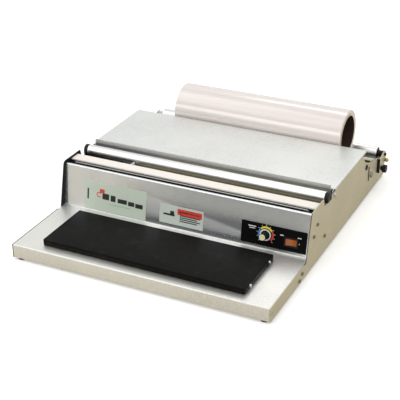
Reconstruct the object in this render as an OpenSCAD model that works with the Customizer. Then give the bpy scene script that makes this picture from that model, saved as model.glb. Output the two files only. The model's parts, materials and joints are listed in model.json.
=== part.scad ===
// Hand film wrapping machine: a hot plate that seals, a heated rod that cuts,
// and a film roll that turns on two rollers behind the cover.
// Millimetres. +X right, +Y to the back, +Z up.
// The modules draw in machine coordinates: x from the middle, y from the front face, z from the table.

/* [Body] */
// Width over the side plates
body_w = 485; // [400:1:600]
// Depth from the front face to the back edge
body_d = 588; // [560:1:720]
// Thickness of the side plates
side_t = 1.5; // [1:0.1:2]
// Thickness of the stainless sheet
sheet_t = 1; // [0.8:0.1:1.2]
// Inside radius of the sheet bends
bend_r = 1.2; // [0.8:0.1:2]
// Height of the rubber feet
foot_h = 4; // [3:0.5:6]

/* [Front] */
// Height of the deck above the table
deck_z = 30; // [26:1:40]
// Depth of the deck, to the foot of the front panel
deck_d = 168; // [150:1:190]
// Height of the front panel's top edge above the table
panel_top_z = 108; // [104:0.5:112]
// How far the front panel leans back over its height
panel_lean_y = 13; // [8:0.5:16]
// Height of the side plates beside the film rest
cheek_z = 113; // [111.5:0.5:116]

/* [Hot plate] */
// Width of the hot plate
hot_w = 381; // [300:1:400]
// Depth of the hot plate
hot_d = 120; // [90:1:130]
// Height of its top above the deck
hot_h = 12; // [11:0.5:16]
// Gap between the hot plate and the front face
hot_y = 18.5; // [14:0.5:30]
// Thickness of the coated cover
hot_skin = 0.8; // [0.6:0.1:1.2]

/* [Film rest and cutter] */
// Depth of the film rest
rest_d = 22; // [18:1:30]
// Thickness of the cling strip on it
rest_strip_t = 1; // [0.6:0.1:1.5]
// Width of the slot that holds the cutter rod
slot_d = 19; // [11:0.5:20]
// Diameter of the cutter rod
rod_d = 2.4; // [1.6:0.1:4]

/* [Cover] */
// Depth of the cover
cover_d = 180; // [150:1:184]
// Height of the cover's top above the table
cover_z = 107.7; // [106:0.1:110]
// Height of the lip along its front edge
lip_h = 8.8; // [5:0.1:9]
// How far that edge folds down below the cover
lip_drop = 8; // [5:0.5:8.5]
// How far the lip stops short of each side
lip_inset = 5.5; // [4:0.5:12]

/* [Rollers] */
// Diameter of the guide roller
guide_d = 20; // [16:0.5:22]
// Diameter of the two support rollers
support_d = 25; // [20:0.5:30]
// Wall of the roller tubes
tube_wall = 1.5; // [1:0.1:2.5]
// Diameter of the stub axles
axle_d = 6; // [5:0.1:7.2]

/* [Film roll] */
// Outer diameter of the film roll
film_d = 98; // [90:1:104]
// Length of the film roll
film_len = 350; // [200:5:400]
// Inner diameter of the card core
core_d = 76.2; // [50:0.1:77]
// Wall of the card core
core_wall = 3.2; // [2:0.1:5]
// How far the roll sits right of the middle
film_x = 11; // [-30:1:30]

/* [Controls] */
// Width of the control plate
plate_w = 120; // [110:1:130]
// Height of the control plate
plate_h = 39; // [34:1:44]
// Diameter of the knob's skirt
knob_d = 21; // [17:0.5:26]
// Diameter of the knob's grip
grip_d = 13; // [12:0.2:15]
// Height of the knob
knob_h = 17; // [12:0.5:20]

/* [Hidden] */

fit = 0.1;             // gap between fixed pieces that meet
run_gap = 0.05;        // radial gap of an axle in its bore
soft_gap = 0.3;        // gap between bodies that rest on each other
bend_steps = 5;        // straight steps in each sheet bend
inner_x = body_w / 2 - side_t;   // inner face of the side plates
span_w = 2 * (inner_x - fit);    // length of what fits between the side plates

// front panel: a plane that leans back
panel_h = norm([panel_lean_y, panel_top_z - deck_z]);
panel_a = atan(panel_lean_y / (panel_top_z - deck_z));
panel_y = deck_d;                          // foot of the panel's outer face
panel_top_y = panel_y + panel_lean_y;      // top of the panel's outer face
panel_flange = 3.5;

// film rest and slot
slot_y = panel_top_y + panel_flange * 0.3;
rest_y = slot_y + slot_d;                  // front edge of the film rest
rest_z = cheek_z - 4;                      // top of the cling strip
rest_leg = 17;

// guide roller
guide_y = rest_y + rest_d + 35;
guide_z = 103.5;
block_w = 20;
block_floor = 97;
notch_lead = 10;                           // open part of the notch in front of the block
guide_half = inner_x - 4.5;                 // half length of the guide roller's tube
block_x = guide_half + 1.2;

// cover
cover_y = guide_y + 23.5;
cover_back = cover_y + cover_d;
cover_seat = cover_z - 4.2;                // top edge of the side plates under the cover
pivot_y = cover_y + 4;
pivot_z = cover_z - 10.7;
pivot_d = 5;

// film roll and its rollers
support_half = inner_x - 5;
front_support_y = cover_back + 5;
front_support_z = 70;
support_gap_y = 92;
rear_support_y = front_support_y + support_gap_y;
rear_support_z = 60;
contact_r = film_d / 2 + support_d / 2 + soft_gap;
support_span = norm([support_gap_y, front_support_z - rear_support_z]);
support_tilt = atan((front_support_z - rear_support_z) / support_gap_y);
film_rise = sqrt(contact_r * contact_r - support_span * support_span / 4);
film_y = (front_support_y + rear_support_y) / 2 + film_rise * sin(support_tilt);
film_z = (front_support_z + rear_support_z) / 2 + film_rise * cos(support_tilt);

// edge of the side plates behind the cover
tail_drop_y = cover_back - 20;
tail_z0 = 84.5;
tail_z1 = 72;
tail_y1 = front_support_y + 18;
tail_end_z = 49;

// roller brackets and clamp knobs, on the outside of the side plates
bracket_t = 1.5;
bracket_y = front_support_y + 16;
joggle_y = rear_support_y - 28;
bolt_y = front_support_y + 26;
bolt_z = 44;
leaf_x = body_w / 2 + 6;                   // inner face of the outer leaf
stud_y = rear_support_y - 18;
stud_z = 38;
stud_d = 5;
clamp_d = 15.5;
clamp_l = 6.5;
lock_y = rear_support_y + 2;
lock_z = rear_support_z - 12.5;
bush_d = 10;
bush_rim_d = 13;

// hot plate layers
hot_top = deck_z + hot_h;
hot_skirt_z = deck_z + 1.6;
board_t = 1.6;
heater_t = 1.6;
board_z = deck_z + fit;
heater_z = board_z + board_t + fit;
slab_z = heater_z + heater_t + fit;
slab_top = hot_top - hot_skin - fit;
hot_mid_y = hot_y + hot_d / 2;
hot_bolt_x = hot_w / 2 - 30;
hot_bolt_y = hot_d / 2 - 22;
hot_screw_y = 40;
thermostat_d = 16;

// chassis
tray_z = foot_h + sheet_t + fit;
tray_flange = 20;
lip = 6.5;                                 // return flange of apron and rear rail
foot_d = 16;
foot_in = 11;
rail_z = 32;
inner_cover_x = -135;
inner_cover_z = 86;
inner_cover_y = rest_y + rest_d + 10;
inner_cover_back = front_support_y - support_d / 2 - 13;
grommet_x = 150;
grommet_z = 18;
grommet_d = 12;
grommet_rim = 1.9;                         // how far its rim stands out of the back

// control plate and what is on it, along and up the panel
plate_u = inner_x - 5 - plate_w / 2;
plate_v = 25.5;
plate_t = 1;
knob_u = plate_u - plate_w / 2 + 46;
knob_v = 27;
switch_u = plate_u + plate_w / 2 - 27.5;
switch_v = 22.5;
rocker_w = 20;
rocker_h = 11;
rocker_tilt = 8;
rocker_gap = 0.4;
rocker_pin_d = 2.4;
rocker_pin_w = -1.5;                       // height of its pins over the panel
bezel_t = 1.6;
bezel_edge = 2.8;
switch_cut_w = rocker_w + 2 * rocker_gap + 2.2;
switch_cut_h = rocker_h + 2 * rocker_gap + 2.2;
knob_gap = 0.4;
shaft_d = 6;

// side screws: depth, height
screw_at = [[panel_y + 35, 79], [panel_y + 19, 63], [inner_cover_y + 8, 38],
    [deck_d - 32, 19], [deck_d - 44, 11]];
screw_head = 6.5;
screw_d = 3;

// ---------- helpers ----------
function unit(v) = v / norm(v);
function left_of(v) = [-v[1], v[0]];
function reversed(p) = [for (i = [len(p) - 1:-1:0]) p[i]];
function turn(p, i) = cross(p[i] - p[i - 1], p[i + 1] - p[i]);

// arc that rounds the corner b between a and c with radius r
function corner(a, b, c, r, n) =
    r <= 0 ? [b] :
    let (u = unit(a - b), v = unit(c - b), half = acos(u * v) / 2)
    let (m = b + unit(u + v) * r / sin(half), s = b + u * r / tan(half), e = b + v * r / tan(half))
    let (a0 = atan2(s[1] - m[1], s[0] - m[0]), a1 = atan2(e[1] - m[1], e[0] - m[0]))
    let (d = a1 - a0 > 180 ? a1 - a0 - 360 : a1 - a0 < -180 ? a1 - a0 + 360 : a1 - a0)
    [for (k = [0:n]) m + r * [cos(a0 + d * k / n), sin(a0 + d * k / n)]];

// open path with its inner corners rounded: r_left where it turns left, r_right where it turns right
function round_path(p, r_left, r_right) = [for (i = [0:len(p) - 1])
    each (i == 0 || i == len(p) - 1) ? [p[i]]
    : corner(p[i - 1], p[i], p[i + 1], turn(p, i) > 0 ? r_left : r_right, bend_steps)];

// path moved sideways by t, to its left when t is positive
function beside(p, t) = [for (i = [0:len(p) - 1])
    let (a = i > 0 ? unit(p[i] - p[i - 1]) : unit(p[1] - p[0]))
    let (b = i < len(p) - 1 ? unit(p[i + 1] - p[i]) : a)
    let (n = unit(left_of(a) + left_of(b)))
    p[i] + n * t / (n * left_of(a))];

// outline of a bent sheet: p is one face, and the metal lies t to its left, or to its right when t is negative
function sheet(p, t, r = bend_r) =
    let (ra = t > 0 ? r + t : r, rb = t > 0 ? r : r - t)
    concat(round_path(p, ra, rb), reversed(round_path(beside(p, t), rb, ra)));

// closed outline of points [y, z, corner radius]
function rounded(p) = let (n = len(p)) [for (i = [0:n - 1])
    let (a = p[(i + n - 1) % n], b = p[i], c = p[(i + 1) % n])
    each corner([a[0], a[1]], [b[0], b[1]], [c[0], c[1]], b[2], bend_steps)];

// prism along X of an outline in Y and Z
module yz_prism(x0, x1, outline) {
    translate([x0, 0, 0]) rotate([90, 0, 90]) linear_extrude(x1 - x0) polygon(outline);
}

// prism along Y of an outline in X and Z
module xz_prism(y0, y1, outline) {
    translate([0, y1, 0]) rotate([90, 0, 0]) linear_extrude(y1 - y0) polygon(outline);
}

module box(x0, x1, y0, y1, z0, z1) {
    translate([x0, y0, z0]) cube([x1 - x0, y1 - y0, z1 - z0]);
}

// cylinder along X
module x_rod(x0, x1, y, z, d, fn = 48) {
    translate([x0, y, z]) rotate([0, 90, 0]) cylinder(d = d, h = x1 - x0, $fn = fn);
}

module z_rod(x, y, z0, z1, d, fn = 32) {
    translate([x, y, z0]) cylinder(d = d, h = z1 - z0, $fn = fn);
}

// local frame on the front panel: X along it, Y up it, Z out of it
module on_panel(u, v, w = 0) {
    translate([u, panel_y + v * sin(panel_a), deck_z + v * cos(panel_a)])
        rotate([90 - panel_a, 0, 0]) translate([0, 0, w]) children();
}

module both_sides() {
    children();
    mirror([1, 0, 0]) children();
}

module rounded_slab(w, d, h, r) {
    linear_extrude(h) polygon(rounded([[-w / 2, -d / 2, r], [w / 2, -d / 2, r], [w / 2, d / 2, r], [-w / 2, d / 2, r]]));
}

// ---------- chassis ----------
module base_tray() {
    half = span_w / 2;
    color("silver") difference() {
        xz_prism(sheet_t + bend_r + fit, body_d - sheet_t - bend_r - fit,
            sheet([[-half, tray_flange], [-half, tray_z], [half, tray_z], [half, tray_flange]], sheet_t));
        for (x = [-half + foot_in, half - foot_in], y = [foot_in, body_d - foot_in])
            z_rod(x, y, tray_z - 1, tray_z + 3, 4.4);
        for (x = [-150:50:150], y = [50, 95])
            box(x - 12, x + 12, y, y + 5, tray_z - 1, tray_z + 3);
        for (i = [3, 4])
            x_rod(-body_w, body_w, screw_at[i][0], screw_at[i][1], screw_d + 0.4, 24);
    }
}

module rubber_feet() {
    half = span_w / 2;
    color([0.08, 0.08, 0.08]) for (x = [-half + foot_in, half - foot_in], y = [foot_in, body_d - foot_in])
        difference() {
            union() {
                z_rod(x, y, 0, foot_h - fit, foot_d, 48);
                z_rod(x, y, foot_h - 1, tray_z, 8);
            }
            z_rod(x, y, -1, 1.5, 8.4);
            z_rod(x, y, -1, tray_z + 1, 4.4);
        }
}

module foot_screws() {
    half = span_w / 2;
    color("silver") for (x = [-half + foot_in, half - foot_in], y = [foot_in, body_d - foot_in]) {
        z_rod(x, y, 0.6, 1.5, 7.6);
        z_rod(x, y, 1, tray_z + 5, 4);
        z_rod(x, y, tray_z + sheet_t, tray_z + sheet_t + 3, 7, 6);
    }
}

module front_deck() {
    half = span_w / 2;
    panel_back = [panel_y + sheet_t, panel_top_y + sheet_t];
    color([0.83, 0.84, 0.83]) difference() {
        union() {
            yz_prism(-half, half, sheet([[lip, foot_h], [0, foot_h], [0, deck_z], [panel_y, deck_z],
                [panel_top_y, panel_top_z], [panel_top_y + panel_flange, panel_top_z]], -sheet_t));
            both_sides() yz_prism(half - sheet_t, half, rounded([[panel_back[0] + 1, deck_z + 4, 0],
                [panel_back[0] + 50, deck_z + 4, 4], [panel_back[0] + 50, deck_z + 54, 4],
                [panel_back[0] + 9, deck_z + 54, 0]]));
        }
        on_panel(knob_u, knob_v, -5) cylinder(d = 8.4, h = 10, $fn = 32);
        on_panel(switch_u, switch_v, -5)
            translate([-switch_cut_w / 2, -switch_cut_h / 2, 0]) cube([switch_cut_w, switch_cut_h, 10]);
        for (sx = [-1, 1], sy = [-1, 1])
            z_rod(sx * hot_bolt_x, hot_mid_y + sy * hot_bolt_y, deck_z - 3, deck_z + 1, 4.4);
        z_rod(0, hot_mid_y, deck_z - 3, deck_z + 1, thermostat_d + 2);
        z_rod(heater_wire_x, heater_wire_y, deck_z - 3, deck_z + 1, 6);
        for (i = [0:2])
            x_rod(-body_w, body_w, screw_at[i][0], screw_at[i][1], screw_d + 0.4, 24);
    }
}

// outline of a side plate: low beside the deck, high from the front panel to the cover, falling away behind it
function side_outline() =
    let (rise_y = panel_y - 12)
    let (notch_y0 = guide_y - block_w / 2 - notch_lead, notch_y1 = guide_y + block_w / 2 + fit)
    rounded([[0, foot_h, 1], [0, deck_z, 1.5], [rise_y - 10, deck_z, 0.5], [rise_y - 10, deck_z - 3, 0.8],
        [rise_y - 1, deck_z - 3, 1], [panel_top_y - 5, cheek_z, 8], [notch_y0 - 6, cheek_z, 2.5],
        [notch_y0 - 2, block_floor, 1.5], [notch_y1, block_floor, 1], [notch_y1, cover_seat, 0.8],
        [tail_drop_y, cover_seat, 4], [cover_back - 4, tail_z0, 10], [tail_y1, tail_z1, 25],
        [body_d, tail_end_z, 5], [body_d, foot_h, 1]]);

module side_plate() {
    half = body_w / 2;
    difference() {
        yz_prism(inner_x, half, side_outline());
        for (s = screw_at)
            x_rod(inner_x - 1, half + 1, s[0], s[1], screw_d + 0.3, 24);
        x_rod(inner_x - 1, half + 1, pivot_y, pivot_z, pivot_d + 0.2, 32);
        for (h = [[7, 0], [9, -11]])
            x_rod(inner_x - 1, half + 1, pivot_y + h[0], pivot_z + h[1], 2.6, 24);
        x_rod(inner_x - 1, half + 1, front_support_y, front_support_z, 8.2);
        x_rod(inner_x - 1, half + 1, rear_support_y, rear_support_z, bush_d + 0.2);
        x_rod(inner_x - 1, half + 1, bolt_y, bolt_z, 5.2, 32);
        x_rod(inner_x - 1, half + 1, stud_y, stud_z, stud_d + 2 * run_gap, 32);
        box(inner_x - 1, half + 1, -1, 11, 17.4, 18.6);
    }
}

module left_side_plate() {
    color([0.74, 0.71, 0.6]) mirror([1, 0, 0]) side_plate();
}

module right_side_plate() {
    color([0.74, 0.71, 0.6]) side_plate();
}

module rear_rail() {
    half = span_w / 2;
    color([0.74, 0.71, 0.6]) difference() {
        yz_prism(-half, half, sheet([[body_d - lip, foot_h], [body_d, foot_h], [body_d, rail_z],
            [body_d - 12, rail_z]], sheet_t));
        translate([grommet_x, body_d + 1, grommet_z]) rotate([90, 0, 0]) cylinder(d = grommet_d, h = 4, $fn = 48);
    }
}

// bent cover over the electrics, which is also the floor that the film runs over
module inner_cover() {
    half = span_w / 2;
    foot = tray_z + sheet_t + fit;
    color([0.6, 0.58, 0.48]) difference() {
        union() {
            yz_prism(inner_cover_x, half - 1.2, sheet([[inner_cover_y, foot], [inner_cover_y, inner_cover_z],
                [inner_cover_back, inner_cover_z], [inner_cover_back, foot]], -sheet_t));
            box(inner_cover_x, inner_cover_x + sheet_t, inner_cover_y + sheet_t / 2,
                inner_cover_back - sheet_t / 2, foot, inner_cover_z - sheet_t / 2);
        }
        translate([half - 40, inner_cover_y - 2, foot + 12]) rotate([-90, 0, 0])
            cylinder(d = 14, h = 6, $fn = 32);
        translate([grommet_x, inner_cover_back - 4, foot + 12]) rotate([-90, 0, 0])
            cylinder(d = 14, h = 6, $fn = 32);
        x_rod(half - 10, half + 2, screw_at[2][0], screw_at[2][1], screw_d + 0.4, 24);
    }
}

module side_screws() {
    half = body_w / 2;
    color("silver") both_sides() for (s = screw_at) {
        difference() {
            x_rod(half + 0.05, half + 2.2, s[0], s[1], screw_head, 32);
            box(half + 1.4, half + 3, s[0] - 3, s[0] + 3, s[1] - 0.5, s[1] + 0.5);
        }
        x_rod(inner_x - 5, half + 1, s[0], s[1], screw_d, 24);
    }
}

// ---------- film rest and cutter ----------
module film_rest_bar() {
    half = span_w / 2;
    top = rest_z - rest_strip_t;
    color([0.55, 0.55, 0.53]) yz_prism(-half, half, sheet([[rest_y + 0.8, top - rest_leg],
        [rest_y + 0.8, top], [rest_y + rest_d - 0.8, top], [rest_y + rest_d - 0.8, top - rest_leg]], -sheet_t));
}

module film_rest_strip() {
    half = span_w / 2;
    color([0.95, 0.91, 0.87]) yz_prism(-half, half, rounded([[rest_y, rest_z - rest_strip_t, 0],
        [rest_y, rest_z, 0.45], [rest_y + rest_d, rest_z, 0.45], [rest_y + rest_d, rest_z - rest_strip_t, 0]]));
}

module cutter_channel() {
    half = span_w / 2;
    y0 = slot_y + 3.6;
    y1 = rest_y - 0.4;
    top = rest_z - 3;
    color([0.05, 0.05, 0.05]) yz_prism(-half, half, sheet([[y0, top], [y0, top - 11], [y1, top - 11], [y1, top]],
        sheet_t, 0.6));
}

// heated rod: a straight run with both ends bent down into the insulators
rod_half = inner_x - 12;
rod_y = slot_y + 3.6 + (slot_d - 4) / 2;
rod_z = panel_top_z - 0.6;
rod_bend = 3;

module cutter_rod() {
    color([0.72, 0.72, 0.7]) {
        x_rod(-rod_half + rod_bend, rod_half - rod_bend, rod_y, rod_z, rod_d, 24);
        both_sides() {
            translate([rod_half - rod_bend, rod_y, rod_z - rod_bend]) rotate([90, 0, 0])
                rotate_extrude(angle = 90, $fn = 48) translate([rod_bend, 0]) circle(d = rod_d, $fn = 24);
            z_rod(rod_half, rod_y, rod_z - 10, rod_z - rod_bend, rod_d, 24);
        }
    }
}

module cutter_insulators() {
    floor_z = rest_z - 3 - 11 + sheet_t + fit;
    color([0.1, 0.1, 0.1]) both_sides() difference() {
        box(rod_half - 5, inner_x - 1, rod_y - (slot_d - 4) / 2 + sheet_t + fit,
            rod_y + (slot_d - 4) / 2 - sheet_t - fit, floor_z, rod_z - rod_bend - 0.4);
        z_rod(rod_half, rod_y, floor_z - 1, rest_z, rod_d + 0.2, 24);
    }
}

// ---------- rollers ----------
module roller_tube(half, y, z, d) {
    difference() {
        x_rod(-half, half, y, z, d, 96);
        x_rod(-half - 1, half + 1, y, z, d - 2 * tube_wall, 96);
    }
}

// end plugs with stub axles that reach to x_end
module roller_plugs(half, y, z, d, x_end) {
    plug_d = d - 2 * tube_wall - 2 * run_gap;
    both_sides() {
        x_rod(half - 14, half - 0.3, y, z, plug_d, 64);
        x_rod(half - 1, x_end, y, z, axle_d, 48);
    }
}

module guide_roller_blocks() {
    color([0.06, 0.06, 0.06]) both_sides() difference() {
        yz_prism(block_x, body_w / 2 + 1.5, concat(
            [[guide_y - block_w / 2, block_floor + fit], [guide_y + block_w / 2, block_floor + fit]],
            [for (a = [0:10:180]) [guide_y + block_w / 2 * cos(a), guide_z + block_w / 2 * sin(a)]]));
        x_rod(block_x - 1, body_w / 2 + 3, guide_y, guide_z, axle_d + 2 * run_gap);
    }
}

module guide_roller_tube() {
    color([0.85, 0.85, 0.85]) roller_tube(guide_half, guide_y, guide_z, guide_d);
}

module guide_roller_plugs() {
    color([0.3, 0.3, 0.3]) roller_plugs(guide_half, guide_y, guide_z, guide_d, body_w / 2 + 1);
}

module front_support_roller_tube() {
    color([0.85, 0.85, 0.85]) roller_tube(support_half, front_support_y, front_support_z, support_d);
}

module front_support_roller_plugs() {
    color([0.3, 0.3, 0.3]) roller_plugs(support_half, front_support_y, front_support_z, support_d, body_w / 2 + 1);
}

module rear_support_roller_tube() {
    color([0.85, 0.85, 0.85]) roller_tube(support_half, rear_support_y, rear_support_z, support_d);
}

module rear_support_roller_plugs() {
    color([0.3, 0.3, 0.3])
        roller_plugs(support_half, rear_support_y, rear_support_z, support_d, leaf_x + bracket_t + 3);
}

// flanged bushes in round holes of the side plates
module support_roller_bushes() {
    color([0.06, 0.06, 0.06]) both_sides() difference() {
        union() {
            x_rod(support_half + 0.5, inner_x - fit, front_support_y, front_support_z, 14);
            x_rod(inner_x - 1, body_w / 2 + 1, front_support_y, front_support_z, 8);
            x_rod(body_w / 2 + fit, body_w / 2 + 1.6, front_support_y, front_support_z, 11);
        }
        x_rod(support_half, body_w, front_support_y, front_support_z, axle_d + 2 * run_gap);
    }
}

// spools that lie in the scoops of the side plates' back edge
module rear_roller_bushes() {
    half = body_w / 2;
    color([0.06, 0.06, 0.06]) both_sides() difference() {
        union() {
            x_rod(support_half + 0.5, inner_x - fit, rear_support_y, rear_support_z, bush_rim_d);
            x_rod(inner_x - 1, half + 1, rear_support_y, rear_support_z, bush_d);
            x_rod(half + fit, leaf_x - fit, rear_support_y, rear_support_z, bush_rim_d);
        }
        x_rod(support_half, body_w, rear_support_y, rear_support_z, axle_d + 2 * run_gap);
    }
}

// bracket in a Z: one leaf on the side plate, and one further out that holds the rear axle
module roller_bracket() {
    half = body_w / 2 + fit;
    color([0.72, 0.7, 0.6]) difference() {
        union() {
            yz_prism(half, half + bracket_t, rounded([[bracket_y, 33, 5], [joggle_y + bracket_t, 28, 0],
                [joggle_y + bracket_t, 62, 0], [bracket_y, 66, 5]]));
            yz_prism(half, leaf_x + bracket_t, [[joggle_y, 31], [joggle_y + bracket_t, 31],
                [joggle_y + bracket_t, 61], [joggle_y, 61]]);
            yz_prism(leaf_x, leaf_x + bracket_t, rounded([[joggle_y, 45, 0], [stud_y + 4, 38, 3],
                [rear_support_y - 1, 34, 4], [rear_support_y + 11, 45, 5], [rear_support_y + 11, 58, 5],
                [rear_support_y + 4, 67, 5], [rear_support_y - 6, 67, 5], [joggle_y, 61, 0]]));
        }
        x_rod(half - 1, half + 10, bolt_y, bolt_z, 5.2, 32);
        x_rod(half + bracket_t, leaf_x + 10, stud_y, stud_z, stud_d + 1.6, 32);
        x_rod(leaf_x - 1, leaf_x + 10, rear_support_y, rear_support_z, axle_d + 0.4, 48);
        x_rod(leaf_x - 1, leaf_x + 10, lock_y, lock_z, 3.2, 24);
    }
}

module left_roller_bracket() {
    mirror([1, 0, 0]) roller_bracket();
}

module right_roller_bracket() {
    roller_bracket();
}

module bracket_bolts() {
    half = body_w / 2 + fit + bracket_t;
    color("silver") both_sides() {
        translate([half + 0.05, bolt_y, bolt_z]) rotate([0, 90, 0]) rotate_extrude($fn = 48)
            polygon(concat([[0, 0], [6.2, 0], [6.2, 1]], [for (a = [15:15:75]) [6.2 * cos(a), 1 + 3.2 * sin(a)]], [[0, 4.2]]));
        x_rod(inner_x - 6, half + 1, bolt_y, bolt_z, 5, 32);
        x_rod(inner_x - 4.2, inner_x - 0.1, bolt_y, bolt_z, 9.5, 6);
    }
}

module lock_screws() {
    color([0.72, 0.6, 0.3]) both_sides() {
        x_rod(leaf_x - 2.5, leaf_x + bracket_t + 4, lock_y, lock_z, 3, 24);
        x_rod(leaf_x + bracket_t + 0.05, leaf_x + bracket_t + 1.4, lock_y, lock_z, 6.5, 32);
        translate([leaf_x + bracket_t + 4.6, lock_y, lock_z]) sphere(d = 8, $fn = 40);
    }
}

module clamp_knob() {
    x0 = leaf_x + bracket_t + 0.3;
    color([0.07, 0.07, 0.07]) difference() {
        union() {
            x_rod(x0, x0 + 4, stud_y, stud_z, 10);
            x_rod(x0 + 3.5, x0 + 4 + clamp_l, stud_y, stud_z, clamp_d, 64);
        }
        x_rod(x0 - 1, x0 + clamp_l, stud_y, stud_z, stud_d + 2 * run_gap, 32);
        for (a = [0:45:315])
            x_rod(x0 + 5.5, x0 + 20, stud_y + (clamp_d / 2 + 1.4) * cos(a),
                stud_z + (clamp_d / 2 + 1.4) * sin(a), 5, 24);
    }
}

module left_clamp_knob() {
    mirror([1, 0, 0]) clamp_knob();
}

module right_clamp_knob() {
    clamp_knob();
}

module clamp_stud() {
    color("silver") x_rod(inner_x - 6, leaf_x + bracket_t + clamp_l - 2, stud_y, stud_z, stud_d, 32);
}

module left_clamp_stud() {
    mirror([1, 0, 0]) clamp_stud();
}

module right_clamp_stud() {
    clamp_stud();
}

// ---------- film roll ----------
module film_core() {
    half = film_len / 2 + 0.5;
    color([0.7, 0.58, 0.42]) translate([film_x, 0, 0]) difference() {
        x_rod(-half, half, film_y, film_z, core_d + 2 * core_wall, 128);
        x_rod(-half - 1, half + 1, film_y, film_z, core_d, 128);
    }
}

module film_winding() {
    half = film_len / 2;
    color([0.93, 0.9, 0.88]) translate([film_x, 0, 0]) difference() {
        x_rod(-half, half, film_y, film_z, film_d, 128);
        x_rod(-half - 1, half + 1, film_y, film_z, core_d + 2 * core_wall + 2 * run_gap, 128);
    }
}

// ---------- cover ----------
module top_cover() {
    half = body_w / 2;
    ear_x = inner_x - 0.8;
    color([0.86, 0.87, 0.86]) difference() {
        union() {
            yz_prism(-half + lip_inset, half - lip_inset, sheet([[cover_y, cover_z + lip_h], [cover_y, cover_z],
                [cover_back, cover_z], [cover_back, cover_z - 8]], -sheet_t));
            box(-half + lip_inset, half - lip_inset, cover_y, cover_y + sheet_t, cover_z - lip_drop, cover_z + 2);
            both_sides() {
                box(half - lip_inset - 1, half, pivot_y + 1, cover_back - 1, cover_z - sheet_t, cover_z);
                box(half - sheet_t, half, pivot_y + 4, cover_back - 1, cover_seat + soft_gap, cover_z - 0.2);
                yz_prism(ear_x - sheet_t, ear_x, rounded([[cover_y + 3, cover_z - 0.5, 0],
                    [pivot_y - 5.5, pivot_z - 2, 2], [pivot_y - 3, pivot_z - 6, 3],
                    [pivot_y + 3, pivot_z - 6, 3], [pivot_y + 14, cover_z - 0.5, 0]]));
            }
        }
        x_rod(-body_w, body_w, pivot_y, pivot_z, pivot_d + 2 * run_gap, 48);
    }
}

module cover_pivot_screws() {
    half = body_w / 2;
    color("silver") both_sides() {
        difference() {
            x_rod(half + 0.05, half + 2.8, pivot_y, pivot_z, 8.5);
            box(half + 1.8, half + 4, pivot_y - 5, pivot_y + 5, pivot_z - 0.6, pivot_z + 0.6);
        }
        x_rod(inner_x - 4, half + 1, pivot_y, pivot_z, pivot_d, 48);
    }
}

// ---------- hot plate ----------
module hot_plate_cover() {
    color([0.07, 0.07, 0.07]) difference() {
        translate([0, hot_mid_y, hot_skirt_z]) rounded_slab(hot_w, hot_d, hot_top - hot_skirt_z, 2.5);
        translate([0, hot_mid_y, hot_skirt_z - 1])
            rounded_slab(hot_w - 2 * hot_skin, hot_d - 2 * hot_skin, hot_top - hot_skin - hot_skirt_z + 1, 1.8);
        for (y = [-hot_screw_y, hot_screw_y])
            x_rod(-hot_w, hot_w, hot_mid_y + y, slab_top - 3.6, 3.4, 24);
    }
}

module hot_plate_slab() {
    color([0.75, 0.75, 0.75]) difference() {
        translate([0, hot_mid_y, slab_z])
            rounded_slab(hot_w - 2 * hot_skin - 2 * fit, hot_d - 2 * hot_skin - 2 * fit, slab_top - slab_z, 1.7);
        for (sx = [-1, 1], sy = [-1, 1])
            z_rod(sx * hot_bolt_x, hot_mid_y + sy * hot_bolt_y, slab_z - 1, slab_z + 4.5, 4.1);
        for (sx = [-1, 1], y = [-hot_screw_y, hot_screw_y])
            x_rod(sx > 0 ? hot_w / 2 - 9 : -hot_w / 2 - 2, sx > 0 ? hot_w / 2 + 2 : -hot_w / 2 + 9,
                hot_mid_y + y, slab_top - 3.6, 3.1, 24);
    }
}

module hot_plate_layer(z, t, inset) {
    difference() {
        translate([0, hot_mid_y, z]) rounded_slab(hot_w - 2 * inset, hot_d - 2 * inset, t, 2);
        for (sx = [-1, 1], sy = [-1, 1])
            z_rod(sx * hot_bolt_x, hot_mid_y + sy * hot_bolt_y, z - 1, z + t + 1, 4.6);
        z_rod(0, hot_mid_y, z - 1, z + t + 1, thermostat_d + 1.4);
    }
}

module hot_plate_heater() {
    color([0.75, 0.7, 0.6]) hot_plate_layer(heater_z, heater_t, 8);
}

module hot_plate_insulation() {
    color([0.85, 0.82, 0.74]) difference() {
        hot_plate_layer(board_z, board_t, 5);
        z_rod(heater_wire_x, heater_wire_y, deck_z - 1, heater_z, 6);
    }
}

module hot_plate_bolts() {
    color("silver") for (sx = [-1, 1], sy = [-1, 1]) {
        x = sx * hot_bolt_x;
        y = hot_mid_y + sy * hot_bolt_y;
        z_rod(x, y, deck_z - 9, slab_z + 4, 4);
        z_rod(x, y, deck_z - sheet_t - 3.2, deck_z - sheet_t, 8, 6);
    }
}

module hot_plate_screws() {
    z = slab_top - 3.6;
    color([0.9, 0.9, 0.9]) both_sides() for (y = [-hot_screw_y, hot_screw_y]) {
        x_rod(hot_w / 2 - 7, hot_w / 2 + 0.5, hot_mid_y + y, z, 3, 24);
        x_rod(hot_w / 2 + 0.05, hot_w / 2 + 2.4, hot_mid_y + y, z, 6, 32);
    }
}

module thermostat() {
    color([0.3, 0.3, 0.32]) {
        z_rod(0, hot_mid_y, slab_z - 9.5, slab_z - 0.1, thermostat_d, 48);
        for (s = [-1, 1])
            box(s * 4 - 2.4, s * 4 + 2.4, hot_mid_y - 0.4, hot_mid_y + 0.4, slab_z - 15, slab_z - 9);
    }
}

// ---------- controls ----------
module control_plate() {
    color([0.04, 0.04, 0.04]) difference() {
        on_panel(plate_u, plate_v) translate([0, 0, 0.02]) rounded_slab(plate_w, plate_h, plate_t, 1);
        on_panel(knob_u, knob_v, -1) cylinder(d = 8.4, h = 4, $fn = 32);
        on_panel(switch_u, switch_v, -1)
            translate([-switch_cut_w / 2, -switch_cut_h / 2, 0]) cube([switch_cut_w, switch_cut_h, 4]);
    }
}

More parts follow.
